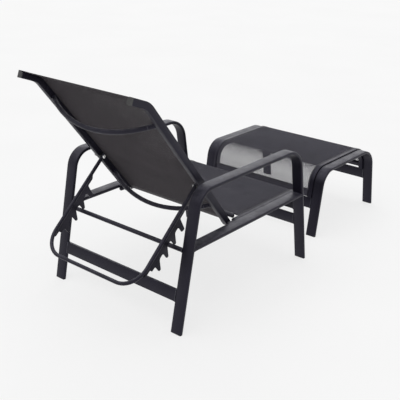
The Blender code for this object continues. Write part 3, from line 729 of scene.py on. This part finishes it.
# ---- bolts with a hexagon socket ----
def socket_bolt(node, body):
    low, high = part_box(node)
    y, z = (low.y + high.y) / 2, (low.z + high.z) / 2
    radius = (high.y - low.y) / 2
    left = "left" in node
    tip, tail = (low.x, high.x) if left else (high.x, low.x)
    run = 1.0 if left else -1.0
    tall = HEAD_TALL[0] if radius < SMALL_HEAD else HEAD_TALL[1]
    count = 24
    hexagon = radius * SOCKET_WIDE
    recess = tall * SOCKET_DEEP

    def ring(r, x, six=False):
        out = []
        for k in range(count):
            angle = 2 * math.pi * k / count
            reach = r
            if six:
                local = (angle + math.pi / 6) % (math.pi / 3) - math.pi / 6
                reach = r / math.cos(local)
            out.append((x, y + reach * math.cos(angle), z + reach * math.sin(angle)))
        return out

    def dome(angle):
        """How far below the head's tip the dome is, at an angle from its axis."""
        return tall - (tall - 0.0002) * math.cos(angle)

    rings = [ring(0.0004, tail), ring(0.0036, tail), ring(SHANK_RADIUS, tail - run * 0.0006),
             ring(SHANK_RADIUS, tip + run * tall), ring(radius, tip + run * tall),
             ring(radius, tip + run * (tall - 0.0005))]
    for degrees in (75, 60, 45, 33):
        angle = math.radians(degrees)
        rings.append(ring(radius * math.sin(angle), tip + run * dome(angle)))
    top = tip + run * (dome(math.radians(33)) - 0.0002)
    rings += [ring(hexagon * 1.06, top, True), ring(hexagon, top + run * 0.0003, True),
              ring(hexagon, top + run * recess, True), ring(0.0004, top + run * (recess + 0.0006), True)]
    bm = bmesh.new()
    verts = [[bm.verts.new(p) for p in r] for r in rings]
    for a, b in zip(verts, verts[1:]):
        for k in range(count):
            bm.faces.new((a[k], a[(k + 1) % count], b[(k + 1) % count], b[k]))
    bm.faces.new(verts[0])
    bm.faces.new(verts[-1])
    obj = piece(node + "_socket", bm, BRIGHT, body, angle=32.0)
    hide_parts(node)


for side in ("left", "right"):
    socket_bolt("hinge_bolt_" + side, "chair_frame")
    socket_bolt("stay_bolt_" + side, "backrest")


# ---- floor, light and camera ----
def lamp(name, place, target, size, energy):
    data = bpy.data.lights.new(name, "AREA")
    data.shape = "RECTANGLE"
    data.size, data.size_y = size
    data.energy = energy
    obj = bpy.data.objects.new(name, data)
    obj.location = place
    obj.rotation_euler = (Vector(target) - Vector(place)).to_track_quat("-Z", "Y").to_euler()
    obj.visible_camera = False
    bpy.context.scene.collection.objects.link(obj)


FLOOR_REACH = 40.0
FLOOR_GAP = 0.0004           # from the feet down to the floor
WORLD_STRENGTH = 0.75
SUN_STRENGTH = 1.0
SUN_SPREAD = 70.0
SUN_TILT = (-14.0, 10.0)
CAMERA_PLACE = (-1.8810, 2.4629, 1.4796)
CAMERA_TURN = (-50.669, -22.360, 1.140)    # yaw, pitch and roll in degrees
CAMERA_LENS = 65.35

floor_mesh = bpy.data.meshes.new("floor")
bm = bmesh.new()
bmesh.ops.create_grid(bm, x_segments=8, y_segments=8, size=FLOOR_REACH)
bmesh.ops.translate(bm, verts=bm.verts, vec=(0, 0, -FLOOR_GAP))
bm.to_mesh(floor_mesh)
bm.free()
floor_mesh.materials.append(floor_paint("pale_floor"))
floor = bpy.data.objects.new("floor", floor_mesh)
bpy.context.scene.collection.objects.link(floor)

world = bpy.data.worlds.new("studio")
bpy.context.scene.world = world
world.use_nodes = True
sky = world.node_tree.nodes["Background"]
sky.inputs["Color"].default_value = (1.0, 1.0, 1.0, 1.0)
sky.inputs["Strength"].default_value = WORLD_STRENGTH

sun = bpy.data.objects.new("overhead", bpy.data.lights.new("overhead", "SUN"))
sun.data.energy = SUN_STRENGTH
sun.data.angle = math.radians(SUN_SPREAD)
sun.rotation_euler = (math.radians(SUN_TILT[0]), math.radians(SUN_TILT[1]), 0.0)
bpy.context.scene.collection.objects.link(sun)
lamp("far_side", (25.0, -29.6, 14.6), (0.0, 0.0, 0.4), (34.0, 19.0), 3050)

yaw, pitch, roll = (math.radians(a) for a in CAMERA_TURN)
ahead = Vector((math.cos(pitch) * math.cos(yaw), math.cos(pitch) * math.sin(yaw), math.sin(pitch)))
right = ahead.cross(Vector((0, 0, 1))).normalized()
up = right.cross(ahead)
across = right * math.cos(roll) + up * math.sin(roll)
up = up * math.cos(roll) - right * math.sin(roll)
camera = bpy.data.objects.new("camera", bpy.data.cameras.new("camera"))
camera.data.lens = CAMERA_LENS
camera.data.sensor_width = 36.0
camera.matrix_world = Matrix.Translation(CAMERA_PLACE) @ Matrix((across, up, -ahead)).transposed().to_4x4()
bpy.context.scene.collection.objects.link(camera)
bpy.context.scene.camera = camera
bpy.context.scene.view_settings.view_transform = "Standard"
